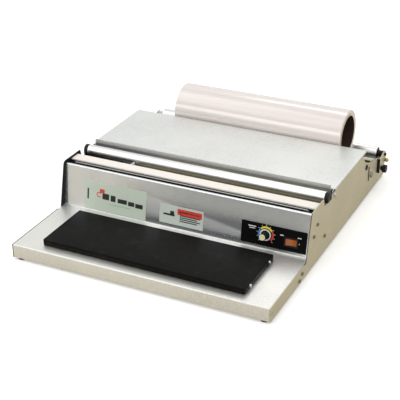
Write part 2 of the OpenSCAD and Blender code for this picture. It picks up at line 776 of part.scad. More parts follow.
// the maker's sheet and the caution sheet, both left blank
module front_labels() {
    color([0.85, 0.93, 0.86]) {
        on_panel(-135, 29, 0.02) rounded_slab(128, 54, 0.15, 1.5);
        on_panel(0, 24.5, 0.02) rounded_slab(86, 35, 0.15, 1.5);
    }
}

module potentiometer() {
    color([0.35, 0.35, 0.37]) on_panel(knob_u, knob_v) difference() {
        union() {
            translate([0, 0, -sheet_t - 11.2]) cylinder(d = 24, h = 11, $fn = 64);
            translate([0, 0, -sheet_t - 1]) cylinder(d = 8, h = sheet_t + 1 + plate_t, $fn = 32);
        }
        translate([0, 0, -sheet_t - 9]) cylinder(d = shaft_d + 2 * run_gap, h = 20, $fn = 48);
    }
}

module knob_shaft() {
    color("silver") on_panel(knob_u, knob_v, -sheet_t - 8.5) cylinder(d = shaft_d, h = sheet_t + 8.5 + knob_h - 4, $fn = 48);
}

knob_base = plate_t + knob_gap;
cap_d = grip_d - 2.6;

module temperature_knob() {
    color([0.05, 0.05, 0.05]) on_panel(knob_u, knob_v, knob_base) difference() {
        union() {
            cylinder(d = knob_d, h = 2.6, $fn = 64);
            cylinder(d = grip_d, h = knob_h - knob_gap, $fn = 64);
        }
        translate([0, 0, -1]) cylinder(d = shaft_d + 0.02, h = knob_h - 4.2, $fn = 48);
        translate([0, 0, knob_h - knob_gap - 1]) cylinder(d = cap_d + 0.2, h = 2, $fn = 48);
        for (a = [0:30:330])
            rotate([0, 0, a]) translate([grip_d / 2 + 0.45, 0, 3.4]) cylinder(d = 1.6, h = knob_h, $fn = 24);
    }
}

module knob_cap() {
    color([0.93, 0.9, 0.6]) on_panel(knob_u, knob_v, knob_base + knob_h - knob_gap - 1 + 0.02) difference() {
        cylinder(d = cap_d, h = 1.4, $fn = 48);
        translate([-0.4, cap_d / 2 - 3, 0.9]) cube([0.8, 4, 1]);
    }
}

module switch_housing() {
    in_w = rocker_w + 2 * rocker_gap;
    in_h = rocker_h + 2 * rocker_gap;
    wall = 1;
    color([0.04, 0.04, 0.04]) on_panel(switch_u, switch_v) difference() {
        union() {
            translate([0, 0, plate_t + 0.05])
                rounded_slab(rocker_w + 2 * bezel_edge, rocker_h + 2 * bezel_edge, bezel_t, 1.2);
            translate([0, 0, -18])
                rounded_slab(in_w + 2 * wall, in_h + 2 * wall, 18 + plate_t + bezel_t - 0.4, 0.5);
        }
        translate([-in_w / 2, -in_h / 2, -6]) cube([in_w, in_h, 20]);
        translate([0, rocker_h, rocker_pin_w]) rotate([90, 0, 0])
            cylinder(d = rocker_pin_d + 2 * run_gap, h = 2 * rocker_h, $fn = 32);
    }
}

// the lens, tilted so that its right end is pressed in; it turns on two pins in the housing
module power_rocker() {
    top = bezel_t + plate_t - rocker_pin_w;
    reach = rocker_h + 2 * rocker_gap + 1.4;
    color([0.85, 0.42, 0.1]) on_panel(switch_u, switch_v, rocker_pin_w) rotate([0, rocker_tilt, 0])
        rotate([90, 0, 0]) {
            translate([0, 0, -rocker_h / 2]) linear_extrude(rocker_h)
                polygon(concat([[-rocker_w / 2 + 1.6, -2.2], [rocker_w / 2 - 1.6, -2.2], [rocker_w / 2 - 0.3, top + 0.9]],
                    [for (k = [1:7]) let (t = 1 - k / 4) [t * (rocker_w / 2 - 0.3), top - 0.7 + 1.6 * t * t]],
                    [[-rocker_w / 2 + 0.3, top + 0.9]]));
            translate([0, 0, -reach / 2]) cylinder(d = rocker_pin_d, h = reach, $fn = 32);
        }
}

// ---------- electrics ----------
board_y = panel_top_y + 14;
chassis_z = tray_z + sheet_t + fit;

module controller_board() {
    color([0.1, 0.35, 0.2]) {
        box(100, 200, board_y + 10, board_y + 11.6, chassis_z, 58);
        box(110, 126, board_y + 4, board_y + 10.2, 40, 52);
        for (x = [138, 152])
            translate([x, board_y + 10.2, 46]) rotate([90, 0, 0]) cylinder(d = 9, h = 7, $fn = 32);
        box(168, 190, board_y + 3, board_y + 10.2, 14, 26);
    }
}

module heat_sink() {
    x = -5;
    color([0.7, 0.7, 0.72]) {
        box(x, x + 60, board_y + 8, board_y + 11, chassis_z, 44);
        for (k = [0:8])
            box(x + 1 + k * 7, x + 2.4 + k * 7, board_y - 6, board_y + 8.2, chassis_z, 44);
    }
}

transformer_x = 150;
transformer_y = 330;

module transformer_core() {
    color([0.35, 0.33, 0.32]) difference() {
        box(transformer_x - 33, transformer_x + 33, transformer_y - 14, transformer_y + 14, chassis_z, chassis_z + 55);
        for (s = [-1, 1])
            box(transformer_x + s * 16.5 - 5.5, transformer_x + s * 16.5 + 5.5, transformer_y - 20,
                transformer_y + 20, chassis_z + 11, chassis_z + 44);
    }
}

module transformer_coil() {
    color([0.6, 0.3, 0.15]) difference() {
        box(transformer_x - 21, transformer_x + 21, transformer_y - 24, transformer_y + 24,
            chassis_z + 11.5, chassis_z + 43.5);
        box(transformer_x - 11.2, transformer_x + 11.2, transformer_y - 14.2, transformer_y + 14.2,
            chassis_z, chassis_z + 60);
        for (s = [-1, 1])
            box(transformer_x + s * 27 - 5.2, transformer_x + s * 27 + 5.2, transformer_y - 14.2,
                transformer_y + 14.2, chassis_z, chassis_z + 60);
    }
}

terminal_x = 20;
terminal_y = 320;

module terminal_block() {
    color([0.9, 0.9, 0.86]) difference() {
        box(terminal_x - 30, terminal_x + 30, terminal_y - 11, terminal_y + 11, chassis_z, chassis_z + 18);
        for (k = [-2:2])
            z_rod(terminal_x + k * 12, terminal_y, chassis_z + 8, chassis_z + 30, 6, 24);
    }
}

module cable_grommet() {
    color([0.05, 0.05, 0.05]) translate([grommet_x, body_d, grommet_z]) rotate([90, 0, 0]) difference() {
        union() {
            translate([0, 0, -grommet_rim]) cylinder(d = 17, h = grommet_rim - fit, $fn = 48);
            translate([0, 0, -1]) cylinder(d = grommet_d - 0.1, h = 4, $fn = 48);
            translate([0, 0, sheet_t + 0.1]) cylinder(d = 15, h = 3, $fn = 48);
        }
        translate([0, 0, -5]) cylinder(d = 7.5, h = 15, $fn = 48);
    }
}

// a level run of wire through round corners, at height z
module wire(points, z, d) {
    translate([0, 0, z - d / 2]) linear_extrude(d) polygon(sheet(beside(points, -d / 2), d, 3));
}

wire_z = grommet_z;
wire_low = chassis_z + 4;
heater_wire_x = 60;
heater_wire_y = hot_mid_y + 40;

module wiring() {
    d = 2.4;
    back_y = terminal_y + 45;
    side_x = inner_x - 41;
    color([0.5, 0.1, 0.08]) {
        wire([[terminal_x + 24, terminal_y + 11.2], [terminal_x + 24, back_y], [grommet_x, back_y],
            [grommet_x, body_d - 1]], wire_z, 4);
        wire([[terminal_x + 12, terminal_y - 11.2], [terminal_x + 12, terminal_y - 35], [side_x, terminal_y - 35],
            [side_x, board_y + 22], [heater_wire_x, board_y + 22], [heater_wire_x, heater_wire_y - d / 2]], wire_z, d);
        box(heater_wire_x - d / 2, heater_wire_x + d / 2, heater_wire_y - d / 2, heater_wire_y + d / 2,
            wire_z, heater_z - fit);
        wire([[terminal_x - 12, terminal_y - 11.2], [terminal_x - 12, terminal_y - 40],
            [transformer_x, terminal_y - 40], [transformer_x, transformer_y - 24.4]], wire_low, d);
        box(transformer_x - d / 2, transformer_x + d / 2, transformer_y - 24.4 - d, transformer_y - 24.2,
            wire_low, wire_low + 14);
    }
}

// ---------- assembly, with its origin under the middle of the machine ----------
module placed() {
    translate([0, -(body_d + grommet_rim) / 2, 0]) children();
}

placed() base_tray();
placed() rubber_feet();
placed() foot_screws();
placed() front_deck();
placed() left_side_plate();
placed() right_side_plate();
placed() rear_rail();
placed() inner_cover();
placed() side_screws();
placed() film_rest_bar();
placed() film_rest_strip();
placed() cutter_channel();
placed() cutter_rod();
placed() cutter_insulators();
placed() guide_roller_blocks();
placed() support_roller_bushes();
placed() rear_roller_bushes();
placed() left_roller_bracket();
placed() right_roller_bracket();
placed() bracket_bolts();
placed() lock_screws();
placed() hot_plate_cover();
placed() hot_plate_slab();
placed() hot_plate_heater();
placed() hot_plate_insulation();
placed() hot_plate_bolts();
placed() hot_plate_screws();
placed() thermostat();
placed() control_plate();
placed() front_labels();
placed() potentiometer();
placed() switch_housing();
placed() controller_board();
placed() heat_sink();
placed() transformer_core();
placed() transformer_coil();
placed() terminal_block();
placed() cable_grommet();
placed() wiring();
placed() top_cover();
placed() cover_pivot_screws();
placed() guide_roller_tube();
placed() guide_roller_plugs();
placed() front_support_roller_tube();
placed() front_support_roller_plugs();
placed() rear_support_roller_tube();
placed() rear_support_roller_plugs();
placed() film_core();
placed() film_winding();
placed() temperature_knob();
placed() knob_cap();
placed() knob_shaft();
placed() power_rocker();
placed() left_clamp_knob();
placed() right_clamp_knob();
placed() left_clamp_stud();
placed() right_clamp_stud();
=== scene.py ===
import json
import bpy, bmesh
from math import radians, sin, cos, pi
from mathutils import Matrix, Vector


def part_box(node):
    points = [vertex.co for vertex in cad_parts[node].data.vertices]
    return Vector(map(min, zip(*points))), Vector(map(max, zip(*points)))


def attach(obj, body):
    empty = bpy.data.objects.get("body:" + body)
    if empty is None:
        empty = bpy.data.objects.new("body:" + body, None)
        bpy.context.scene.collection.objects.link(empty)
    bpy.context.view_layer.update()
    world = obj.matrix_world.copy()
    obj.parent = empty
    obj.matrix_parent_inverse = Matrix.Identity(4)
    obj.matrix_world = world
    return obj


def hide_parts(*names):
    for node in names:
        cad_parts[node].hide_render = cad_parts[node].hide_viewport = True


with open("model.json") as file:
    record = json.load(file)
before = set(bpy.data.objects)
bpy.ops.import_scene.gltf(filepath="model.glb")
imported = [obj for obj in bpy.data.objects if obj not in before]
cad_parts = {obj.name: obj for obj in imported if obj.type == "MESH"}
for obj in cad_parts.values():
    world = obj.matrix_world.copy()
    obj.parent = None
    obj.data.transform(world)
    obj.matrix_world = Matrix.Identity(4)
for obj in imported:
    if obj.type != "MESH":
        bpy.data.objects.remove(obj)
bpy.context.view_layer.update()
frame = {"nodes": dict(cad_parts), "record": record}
scene = bpy.context.scene
nodes = frame["nodes"]
record = frame["record"]
slotOf = {row["node"]: row["material_slot"] for row in record["subparts"]}
bodyOf = {node: body for body, group in record["behaviour"]["bodies"].items() for node in group}
jointOf = {joint["name"]: joint for joint in record["behaviour"]["joints"]}
print("machine loaded:", len(nodes), "parts")


# camera, placed from the front face of the side plates
cameraSet = {"azimuth": 26.43, "elevation": 27.47, "roll": -0.83, "distance": 1.939, "lens": 95.94,
             "pastFront": 0.250, "height": 0.060, "slideRight": -0.00105, "slideUp": -0.00826}

def placeCamera(s):
    a, e, t = radians(s["azimuth"]), radians(s["elevation"]), radians(s["roll"])
    back = Vector((sin(a) * cos(e), -cos(a) * cos(e), sin(e)))
    right = Vector((cos(a), sin(a), 0))
    up = back.cross(right)
    right, up = right * cos(t) + up * sin(t), up * cos(t) - right * sin(t)
    target = Vector((0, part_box("right_side_plate")[0].y + s["pastFront"], s["height"]))
    target += right * s["slideRight"] + up * s["slideUp"]
    data = bpy.data.cameras.new("view")
    data.lens, data.sensor_width = s["lens"], 36
    data.clip_end = 20
    camera = bpy.data.objects.new("view", data)
    scene.collection.objects.link(camera)
    camera.matrix_world = Matrix.Translation(target + back * s["distance"]) @ Matrix(
        (right, up, back)).transposed().to_4x4()
    scene.camera = camera

placeCamera(cameraSet)


# soft studio: a big box of light overhead, a band in front, a strip behind and a weak fill on the right
lightSet = {
    "key": {"at": (-0.8, -0.7, 2.2), "size": (2.2, 1.8), "watts": 12, "tint": (1.0, 0.99, 0.97)},
    "band": {"at": (-0.5, -1.9, 0.98), "size": (2.4, 0.6), "watts": 8.2, "tint": (1.0, 1.0, 0.99)},
    "rim": {"at": (0.2, 1.5, 1.8), "size": (2.2, 0.6), "watts": 7, "tint": (1.0, 0.99, 0.96)},
    "fill": {"at": (2.2, -0.6, 0.9), "size": (1.2, 1.2), "watts": 7, "tint": (1.0, 0.97, 0.92)},
}

def placeLights(s):
    for name, one in s.items():
        data = bpy.data.lights.new(name, "AREA")
        data.shape = "RECTANGLE"
        data.size, data.size_y = one["size"]
        data.energy, data.color = one["watts"], one["tint"]
        light = bpy.data.objects.new(name, data)
        scene.collection.objects.link(light)
        light.visible_camera = False
        at = Vector(one["at"])
        towards = at - Vector((0, 0, cameraSet["height"]))
        light.matrix_world = Matrix.Translation(at) @ towards.to_track_quat("Z", "Y").to_matrix().to_4x4()

placeLights(lightSet)

# node groups that several finishes share
def newGroup(name, inputs, outputs):
    group = bpy.data.node_groups.new(name, "ShaderNodeTree")
    for socketName, kind, value in inputs:
        socket = group.interface.new_socket(socketName, in_out="INPUT", socket_type=kind)
        if value is not None:
            socket.default_value = value
    for socketName, kind in outputs:
        group.interface.new_socket(socketName, in_out="OUTPUT", socket_type=kind)
    start = group.nodes.new("NodeGroupInput")
    end = group.nodes.new("NodeGroupOutput")
    return group, start, end

def noiseNode(tree, vector, scale, detail, roughness=0.55):
    noise = tree.nodes.new("ShaderNodeTexNoise")
    noise.inputs["Scale"].default_value = scale
    noise.inputs["Detail"].default_value = detail
    noise.inputs["Roughness"].default_value = roughness
    tree.links.new(vector, noise.inputs["Vector"])
    return noise

def rangeNode(tree, value, low, high, toLow=0.0, toHigh=1.0):
    node = tree.nodes.new("ShaderNodeMapRange")
    node.inputs["From Min"].default_value, node.inputs["From Max"].default_value = low, high
    node.inputs["To Min"].default_value, node.inputs["To Max"].default_value = toLow, toHigh
    tree.links.new(value, node.inputs["Value"])
    return node

grainSet = {"scale": 700.0, "detail": 3, "roughness": 0.7, "cloudScale": 9, "grainRange": (0.3, 0.7),
            "cloudRange": (0.35, 0.68)}

def grainGroup(s):
    # fine grain of a sheet, stretched along its rolling direction, with slow cloudy patches
    group, start, end = newGroup(
        "sheetGrain",
        [("Vector", "NodeSocketVector", None), ("Stretch", "NodeSocketVector", (1.0, 1.0, 1.0)),
         ("Scale", "NodeSocketFloat", s["scale"])],
        [("Grain", "NodeSocketFloat"), ("Cloud", "NodeSocketFloat")])
    squeeze = group.nodes.new("ShaderNodeVectorMath")
    squeeze.operation = "MULTIPLY"
    group.links.new(start.outputs["Vector"], squeeze.inputs[0])
    group.links.new(start.outputs["Stretch"], squeeze.inputs[1])
    fine = noiseNode(group, squeeze.outputs[0], s["scale"], s["detail"], s["roughness"])
    group.links.new(start.outputs["Scale"], fine.inputs["Scale"])
    cloud = noiseNode(group, start.outputs["Vector"], s["cloudScale"], s["detail"])
    grain = rangeNode(group, fine.outputs["Fac"], *s["grainRange"])
    patch = rangeNode(group, cloud.outputs["Fac"], *s["cloudRange"])
    group.links.new(grain.outputs[0], end.inputs["Grain"])
    group.links.new(patch.outputs[0], end.inputs["Cloud"])
    return group

handlingSet = {"smearScale": 38, "smearDetail": 5, "smearRoughness": 0.62, "smearRange": (0.56, 0.72),
               "scratchScale": 60, "scratchWidth": 0.012}

def handlingGroup(s):
    # finger smudges and light scuffs: a mask that is mostly empty
    group, start, end = newGroup(
        "handling",
        [("Vector", "NodeSocketVector", None), ("Amount", "NodeSocketFloat", 0.5)],
        [("Mask", "NodeSocketFloat")])
    smear = noiseNode(group, start.outputs["Vector"], s["smearScale"], s["smearDetail"],
                      s["smearRoughness"])
    scratch = group.nodes.new("ShaderNodeTexVoronoi")
    scratch.feature = "DISTANCE_TO_EDGE"
    scratch.inputs["Scale"].default_value = s["scratchScale"]
    group.links.new(start.outputs["Vector"], scratch.inputs["Vector"])
    patch = rangeNode(group, smear.outputs["Fac"], *s["smearRange"])
    line = rangeNode(group, scratch.outputs["Distance"], s["scratchWidth"], 0.0)
    both = group.nodes.new("ShaderNodeMath")
    both.operation = "MULTIPLY"
    group.links.new(line.outputs[0], both.inputs[0])
    group.links.new(smear.outputs["Fac"], both.inputs[1])
    most = group.nodes.new("ShaderNodeMath")
    most.operation = "MAXIMUM"
    group.links.new(patch.outputs[0], most.inputs[0])
    group.links.new(both.outputs[0], most.inputs[1])
    amount = group.nodes.new("ShaderNodeMath")
    amount.operation = "MULTIPLY"
    group.links.new(most.outputs[0], amount.inputs[0])
    group.links.new(start.outputs["Amount"], amount.inputs[1])
    group.links.new(amount.outputs[0], end.inputs["Mask"])
    return group

grain = grainGroup(grainSet)
handling = handlingGroup(handlingSet)


# pale room, dimmer towards the front, so that the steel isn't washed out when seen from behind
roomSet = {"stops": {"low": 0.3, "level": 0.52, "high": 0.78}, "low": (0.80, 0.79, 0.77),
           "level": (0.92, 0.92, 0.895), "high": (0.84, 0.85, 0.85), "strength": 0.97,
           "frontDim": 0.7, "dimFrom": -0.75, "dimTo": 0.1}

def makeRoom(s):
    world = bpy.data.worlds.new("room")
    scene.world = world
    world.use_nodes = True
    tree = world.node_tree
    coords = tree.nodes.new("ShaderNodeTexCoord")
    split = tree.nodes.new("ShaderNodeSeparateXYZ")
    ramp = tree.nodes.new("ShaderNodeValToRGB")
    background = tree.nodes["Background"]
    shift = tree.nodes.new("ShaderNodeMath")
    shift.operation = "MULTIPLY_ADD"
    shift.inputs[1].default_value = shift.inputs[2].default_value = 0.5
    tree.links.new(coords.outputs["Generated"], split.inputs[0])
    tree.links.new(split.outputs["Z"], shift.inputs[0])
    tree.links.new(shift.outputs[0], ramp.inputs[0])
    tree.links.new(ramp.outputs[0], background.inputs[0])
    first, last = ramp.color_ramp.elements
    first.position, first.color = s["stops"]["low"], (*s["low"], 1)
    last.position, last.color = s["stops"]["high"], (*s["high"], 1)
    middle = ramp.color_ramp.elements.new(s["stops"]["level"])
    middle.color = (*s["level"], 1)
    dim = rangeNode(tree, split.outputs["Y"], s["dimFrom"], s["dimTo"], s["strength"] * s["frontDim"],
                    s["strength"])
    tree.links.new(dim.outputs[0], background.inputs["Strength"])
    scene.view_settings.view_transform = "Standard"

makeRoom(roomSet)


# one builder for the sheets, plastics and rubbers; each finish is a dictionary of its own
finishDefaults = {"color": (0.5, 0.5, 0.5), "second": None, "dirt": (0.3, 0.28, 0.24), "metallic": 0.0,
                  "rough": (0.35, 0.5), "scale": 700.0, "stretch": (1, 1, 1), "bump": 0.1, "depth": 0.0001,
                  "handled": 0.3, "cloud": 0.5, "rub": 0.25, "coat": 0.0, "coatRough": 0.12,
                  "specular": 0.5}

def mixColor(tree, factor, one, two):
    mix = tree.nodes.new("ShaderNodeMix")
    mix.data_type = "RGBA"
    tree.links.new(factor, mix.inputs["Factor"])
    for socket, value in ((mix.inputs[6], one), (mix.inputs[7], two)):
        if isinstance(value, tuple):
            socket.default_value = (*value, 1)
        else:
            tree.links.new(value, socket)
    return mix.outputs[2]

def startMaterial(name, settings):
    material = bpy.data.materials.new(name)
    material.use_nodes = True
    tree = material.node_tree
    shader = tree.nodes["Principled BSDF"]
    shader.inputs["Metallic"].default_value = settings["metallic"]
    shader.inputs["Coat Weight"].default_value = settings["coat"]
    shader.inputs["Coat Roughness"].default_value = settings["coatRough"]
    shader.inputs["Specular IOR Level"].default_value = settings["specular"]
    coords = tree.nodes.new("ShaderNodeTexCoord")
    return material, tree, shader, coords.outputs["Object"]

def grainOf(tree, vector, settings):
    node = tree.nodes.new("ShaderNodeGroup")
    node.node_tree = grain
    node.inputs["Stretch"].default_value = settings["stretch"]
    node.inputs["Scale"].default_value = settings["scale"]
    tree.links.new(vector, node.inputs["Vector"])
    return node

def handlingOf(tree, vector, amount):
    node = tree.nodes.new("ShaderNodeGroup")
    node.node_tree = handling
    node.inputs["Amount"].default_value = amount
    tree.links.new(vector, node.inputs["Vector"])
    return node

def bumpOf(tree, shader, height, strength, depth):
    bump = tree.nodes.new("ShaderNodeBump")
    bump.inputs["Strength"].default_value = strength
    bump.inputs["Distance"].default_value = depth
    tree.links.new(height, bump.inputs["Height"])
    tree.links.new(bump.outputs[0], shader.inputs["Normal"])

def makeFinish(name, **changes):
    s = {**finishDefaults, **changes}
    second = s["second"] or tuple(0.8 * c for c in s["color"])
    material, tree, shader, vector = startMaterial(name, s)
    fine = grainOf(tree, vector, s)
    worn = handlingOf(tree, vector, s["handled"])
    clouded = rangeNode(tree, fine.outputs["Cloud"], 0, 1, 0.5 - s["cloud"] / 2, 0.5 + s["cloud"] / 2)
    blendIn = tree.nodes.new("ShaderNodeMath")
    blendIn.operation = "MULTIPLY"
    tree.links.new(fine.outputs["Grain"], blendIn.inputs[0])
    tree.links.new(clouded.outputs[0], blendIn.inputs[1])
    color = mixColor(tree, blendIn.outputs[0], s["color"], second)
    color = mixColor(tree, worn.outputs["Mask"], color, s["dirt"])
    tree.links.new(color, shader.inputs["Base Color"])
    rough = rangeNode(tree, fine.outputs["Grain"], 0, 1, *s["rough"])
    rub = tree.nodes.new("ShaderNodeMath")
    rub.operation = "MULTIPLY_ADD"
    rub.inputs[1].default_value = s["rub"]
    tree.links.new(worn.outputs["Mask"], rub.inputs[0])
    tree.links.new(rough.outputs[0], rub.inputs[2])
    tree.links.new(rub.outputs[0], shader.inputs["Roughness"])
    bumpOf(tree, shader, fine.outputs["Grain"], s["bump"], s["depth"])
    return material

finishes = {
    "sheet_front": makeFinish("grainedSteel", color=(0.87, 0.86, 0.82), second=(0.61, 0.605, 0.58),
        metallic=0.85, rough=(0.38, 0.5), scale=330, bump=0.5, handled=0.05, dirt=(0.66, 0.65, 0.61)),
    "cover": makeFinish("coverSteel", color=(0.825, 0.833, 0.81), second=(0.565, 0.575, 0.565),
        metallic=0.85, rough=(0.38, 0.5), scale=330, bump=0.5, handled=0.05, dirt=(0.66, 0.65, 0.61)),
    # panel: the upright front of the deck sheet, polished finer than the deck, and its colour is painted
    # darker than the deck's as shade
    "panel": makeFinish("panelSteelPaintedShade", color=(0.80, 0.82, 0.85), second=(0.53, 0.55, 0.575),
        metallic=0.9, rough=(0.16, 0.28), scale=380, bump=0.32, handled=0.04, dirt=(0.66, 0.65, 0.61)),
    # dark colour painted on the right side plate's front and top edges as shade
    "painted_edge_shade": makeFinish("paintedEdgeShade", color=(0.10, 0.092, 0.065), second=(0.06, 0.055, 0.04),
        metallic=0.5, rough=(0.4, 0.55), scale=900),
    "dull_screw": makeFinish("dullScrew", color=(0.34, 0.31, 0.22), second=(0.2, 0.18, 0.12),
        metallic=1.0, rough=(0.25, 0.4), scale=1500, bump=0.1),
    "sheet_side": makeFinish("warmSteel", color=(0.61, 0.565, 0.43), second=(0.41, 0.38, 0.275),
        metallic=0.45, rough=(0.36, 0.5), scale=420, bump=0.35, handled=0.12, dirt=(0.46, 0.42, 0.32)),
    "tray": makeFinish("zincSheet", color=(0.55, 0.56, 0.57), second=(0.38, 0.4, 0.42), metallic=0.8,
        scale=90, rough=(0.3, 0.55), bump=0.1),
    "inner_paint": makeFinish("oliveInner", color=(0.30, 0.26, 0.16), second=(0.22, 0.2, 0.13),
        metallic=0.35, rough=(0.4, 0.55), scale=600),
    "rest_rubber": makeFinish("restStrip", color=(0.90, 0.84, 0.78), second=(0.84, 0.77, 0.71),
        rough=(0.42, 0.6), scale=900, bump=0.15, handled=0.15, dirt=(0.6, 0.5, 0.42)),
    "black_sheet": makeFinish("blackSheet", color=(0.006, 0.006, 0.0065), second=(0.014, 0.014, 0.014),
        rough=(0.4, 0.55), specular=0.2, handled=0.1, dirt=(0.04, 0.04, 0.038)),
    "rod": makeFinish("drawnRod", color=(0.42, 0.40, 0.37), metallic=1.0, rough=(0.22, 0.4),
        stretch=(0.1, 1, 1)),
    "black_plastic": makeFinish("mouldedBlack", color=(0.007, 0.007, 0.0075),
        second=(0.016, 0.016, 0.017), rough=(0.36, 0.5), scale=1500, bump=0.12, specular=0.25,
        handled=0.15, dirt=(0.05, 0.05, 0.048)),
    "roller_chrome": makeFinish("polishedTube", color=(0.86, 0.86, 0.85), second=(0.78, 0.78, 0.78),
        metallic=1.0, rough=(0.3, 0.36), scale=40, bump=0.0, handled=0.05),
    "screws": makeFinish("brightScrew", color=(0.72, 0.72, 0.7), metallic=1.0, rough=(0.2, 0.36),
        scale=2500, bump=0.05),
    "brass": makeFinish("brassTurned", color=(0.52, 0.42, 0.17), second=(0.4, 0.31, 0.11), metallic=1.0,
        rough=(0.2, 0.36)),
    "plate_slab": makeFinish("milledAluminium", color=(0.74, 0.75, 0.76), metallic=1.0,
        stretch=(0.05, 1, 1)),
    "heater": makeFinish("micaBoard", color=(0.62, 0.54, 0.38), second=(0.5, 0.42, 0.28),
        rough=(0.5, 0.7), scale=300),
    "thermo": makeFinish("tinnedCan", color=(0.45, 0.45, 0.47), metallic=0.9),
    "board": makeFinish("boardGreen", color=(0.02, 0.16, 0.06), second=(0.03, 0.22, 0.08),
        rough=(0.25, 0.4), scale=500),
    "iron": makeFinish("coreStack", color=(0.12, 0.115, 0.11), metallic=0.6, stretch=(1, 12, 0.1),
        scale=300, bump=0.5),
    "coil": makeFinish("coilTape", color=(0.5, 0.22, 0.05), second=(0.38, 0.16, 0.03),
        stretch=(1, 1, 8), scale=250),
    "terminal": makeFinish("terminalNylon", color=(0.78, 0.76, 0.7), rough=(0.35, 0.5)),
    "cable": makeFinish("wireBlack", color=(0.02, 0.02, 0.02), rough=(0.3, 0.45)),
    "foot_rubber": makeFinish("footRubber", color=(0.015, 0.015, 0.015), second=(0.035, 0.034, 0.032),
        rough=(0.55, 0.75), scale=1100, bump=0.3),
    "fascia": makeFinish("fasciaFilm", color=(0.003, 0.0028, 0.0035), second=(0.007, 0.0065, 0.0075),
        rough=(0.3, 0.4), scale=1800, bump=0.08, specular=0.06, handled=0.1, dirt=(0.02, 0.02, 0.02)),
    "knob_black": makeFinish("knobBlack", color=(0.006, 0.006, 0.0065), second=(0.013, 0.013, 0.014),
        rough=(0.24, 0.36), scale=1600, bump=0.08, specular=0.16, handled=0.15,
        dirt=(0.04, 0.04, 0.04)),
    "knob_cap": makeFinish("creamCap", color=(0.86, 0.80, 0.34), second=(0.80, 0.73, 0.28),
        rough=(0.3, 0.4), scale=1600, bump=0.06),
}
print("sheet and plastic finishes ready")


# the plate's woven non-stick cover: two crossed sets of threads
weaveSet = {"threads": 620, "color": (0.005, 0.005, 0.0046), "thread": (0.011, 0.011, 0.01),
            "speck": (0.022, 0.022, 0.02), "dirt": (0.027, 0.026, 0.023), "wobble": 0.6, "handled": 0.35,
            "rough": (0.34, 0.5), "bump": 0.5, "depth": 0.00008, "specular": 0.04}

def makeWeave(s):
    material, tree, shader, vector = startMaterial("wovenCoating", {**finishDefaults, **s})
    waves = []
    for direction in ("X", "Y"):
        wave = tree.nodes.new("ShaderNodeTexWave")
        wave.bands_direction = direction
        wave.inputs["Scale"].default_value = s["threads"] / 6.28
        wave.inputs["Distortion"].default_value = s["wobble"]
        wave.inputs["Detail Scale"].default_value = 4
        tree.links.new(vector, wave.inputs["Vector"])
        waves.append(wave.outputs["Fac"])
    cross = tree.nodes.new("ShaderNodeMath")
    cross.operation = "MULTIPLY"
    tree.links.new(waves[0], cross.inputs[0])
    tree.links.new(waves[1], cross.inputs[1])
    worn = handlingOf(tree, vector, s["handled"])
    cloud = grainOf(tree, vector, {"stretch": (1, 1, 1), "scale": 300.0})
    color = mixColor(tree, cross.outputs[0], s["color"], s["thread"])
    speck = rangeNode(tree, cloud.outputs["Grain"], 0.62, 0.95, 0.0, 0.5)
    color = mixColor(tree, speck.outputs[0], color, s["speck"])
    color = mixColor(tree, worn.outputs["Mask"], color, s["dirt"])
    tree.links.new(color, shader.inputs["Base Color"])
    rough = rangeNode(tree, cloud.outputs["Cloud"], 0, 1, *s["rough"])
    tree.links.new(rough.outputs[0], shader.inputs["Roughness"])
    bumpOf(tree, shader, cross.outputs[0], s["bump"], s["depth"])
    return material

finishes["plate_coating"] = makeWeave(weaveSet)

# wound film: bands round the roll, a waxy sheen over it
filmSet = {"color": (0.82, 0.75, 0.72), "second": (0.71, 0.63, 0.605), "dirt": (0.85, 0.80, 0.77),
           "handled": 0.15, "stretch": (0.3, 9, 9), "scale": 9.0, "rough": (0.22, 0.36), "coat": 0.9,
           "coatRough": 0.17, "coatIor": 2.1, "through": 0.25, "reach": (0.02, 0.015, 0.012),
           "reachScale": 0.2, "bump": 0.1, "depth": 0.0005}

def makeFilm(s):
    material, tree, shader, vector = startMaterial("woundFilm", {**finishDefaults, **s})
    bands = grainOf(tree, vector, s)
    color = mixColor(tree, bands.outputs["Grain"], s["color"], s["second"])
    worn = handlingOf(tree, vector, s["handled"])
    color = mixColor(tree, worn.outputs["Mask"], color, s["dirt"])
    tree.links.new(color, shader.inputs["Base Color"])
    rough = rangeNode(tree, bands.outputs["Grain"], 0, 1, *s["rough"])
    tree.links.new(rough.outputs[0], shader.inputs["Roughness"])
    shader.inputs["Subsurface Weight"].default_value = s["through"]
    shader.inputs["Subsurface Radius"].default_value = s["reach"]
    shader.inputs["Subsurface Scale"].default_value = s["reachScale"]
    shader.inputs["Coat IOR"].default_value = s["coatIor"]
    bumpOf(tree, shader, bands.outputs["Grain"], s["bump"], s["depth"])
    return material

finishes["film"] = makeFilm(filmSet)

# card tube: dark, with one spiral seam, and paler where it is cut
cardSet = {"color": (0.055, 0.03, 0.02), "second": (0.03, 0.016, 0.011), "seam": (0.04, 0.025, 0.015),
           "pitch": 10.0, "stretch": (1, 1, 1), "scale": 500.0, "rough": 0.8, "bump": 0.4, "depth": 0.0002}

def makeCard(s):
    material, tree, shader, vector = startMaterial("spiralCard", finishDefaults)
    wave = tree.nodes.new("ShaderNodeTexWave")
    wave.bands_direction = "DIAGONAL"
    wave.inputs["Scale"].default_value = s["pitch"]
    tree.links.new(vector, wave.inputs["Vector"])
    seam = rangeNode(tree, wave.outputs["Fac"], 0.0, 0.01, 0.6)
    fibres = grainOf(tree, vector, s)
    color = mixColor(tree, fibres.outputs["Grain"], s["color"], s["second"])
    color = mixColor(tree, seam.outputs[0], s["seam"], color)
    tree.links.new(color, shader.inputs["Base Color"])
    shader.inputs["Roughness"].default_value = s["rough"]
    bumpOf(tree, shader, fibres.outputs["Grain"], s["bump"], s["depth"])
    return material

finishes["card"] = makeCard(cardSet)
finishes["card_edge"] = makeFinish("cardEdge", color=(0.80, 0.70, 0.48), second=(0.66, 0.55, 0.36),
    rough=(0.7, 0.85), scale=1400, bump=0.5)

